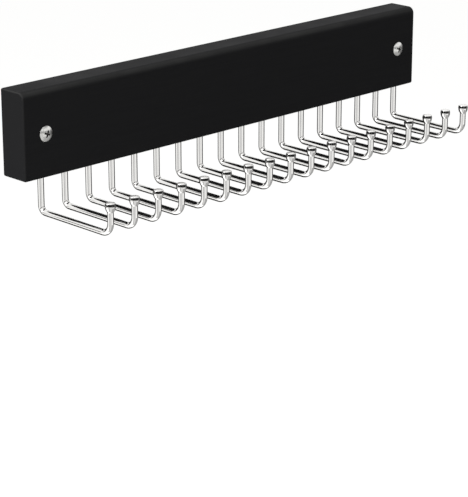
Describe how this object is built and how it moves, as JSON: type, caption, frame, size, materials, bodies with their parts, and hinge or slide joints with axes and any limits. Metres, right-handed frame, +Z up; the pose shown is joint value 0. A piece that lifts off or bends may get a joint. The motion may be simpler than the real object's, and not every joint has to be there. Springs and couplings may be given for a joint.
{
  "type": "tie hanger",
  "caption": "Wall-mounted tie hanger: a satin black wooden bar with a row of chromed wire hooks below it and two wall screws through its face.",
  "frame": {"origin": "middle of the board's back face, which lies on the wall, midway between the two wall screws", "axes": "+X along the board to the right as seen from the room, +Y into the wall, +Z up; the hooks reach into the room along -Y"},
  "size_m": [0.4, 0.1108, 0.0892],
  "materials": {
    "black_lacquered_wood": "satin black lacquer, sprayed over sanded wood",
    "chromed_wire": "bright chrome plate on drawn steel wire",
    "plated_screw": "bright plated steel"
  },
  "bodies": {
    "root": {"board": "black_lacquered_wood", "hook_01": "chromed_wire", "hook_02": "chromed_wire", "hook_03": "chromed_wire", "hook_04": "chromed_wire", "hook_05": "chromed_wire", "hook_06": "chromed_wire", "hook_07": "chromed_wire", "hook_08": "chromed_wire", "hook_09": "chromed_wire", "hook_10": "chromed_wire", "hook_11": "chromed_wire", "hook_12": "chromed_wire", "hook_13": "chromed_wire", "hook_14": "chromed_wire", "hook_15": "chromed_wire", "hook_16": "chromed_wire", "hook_17": "chromed_wire", "hook_18": "chromed_wire", "left_screw": "plated_screw", "right_screw": "plated_screw"}
  },
  "joints": []
}
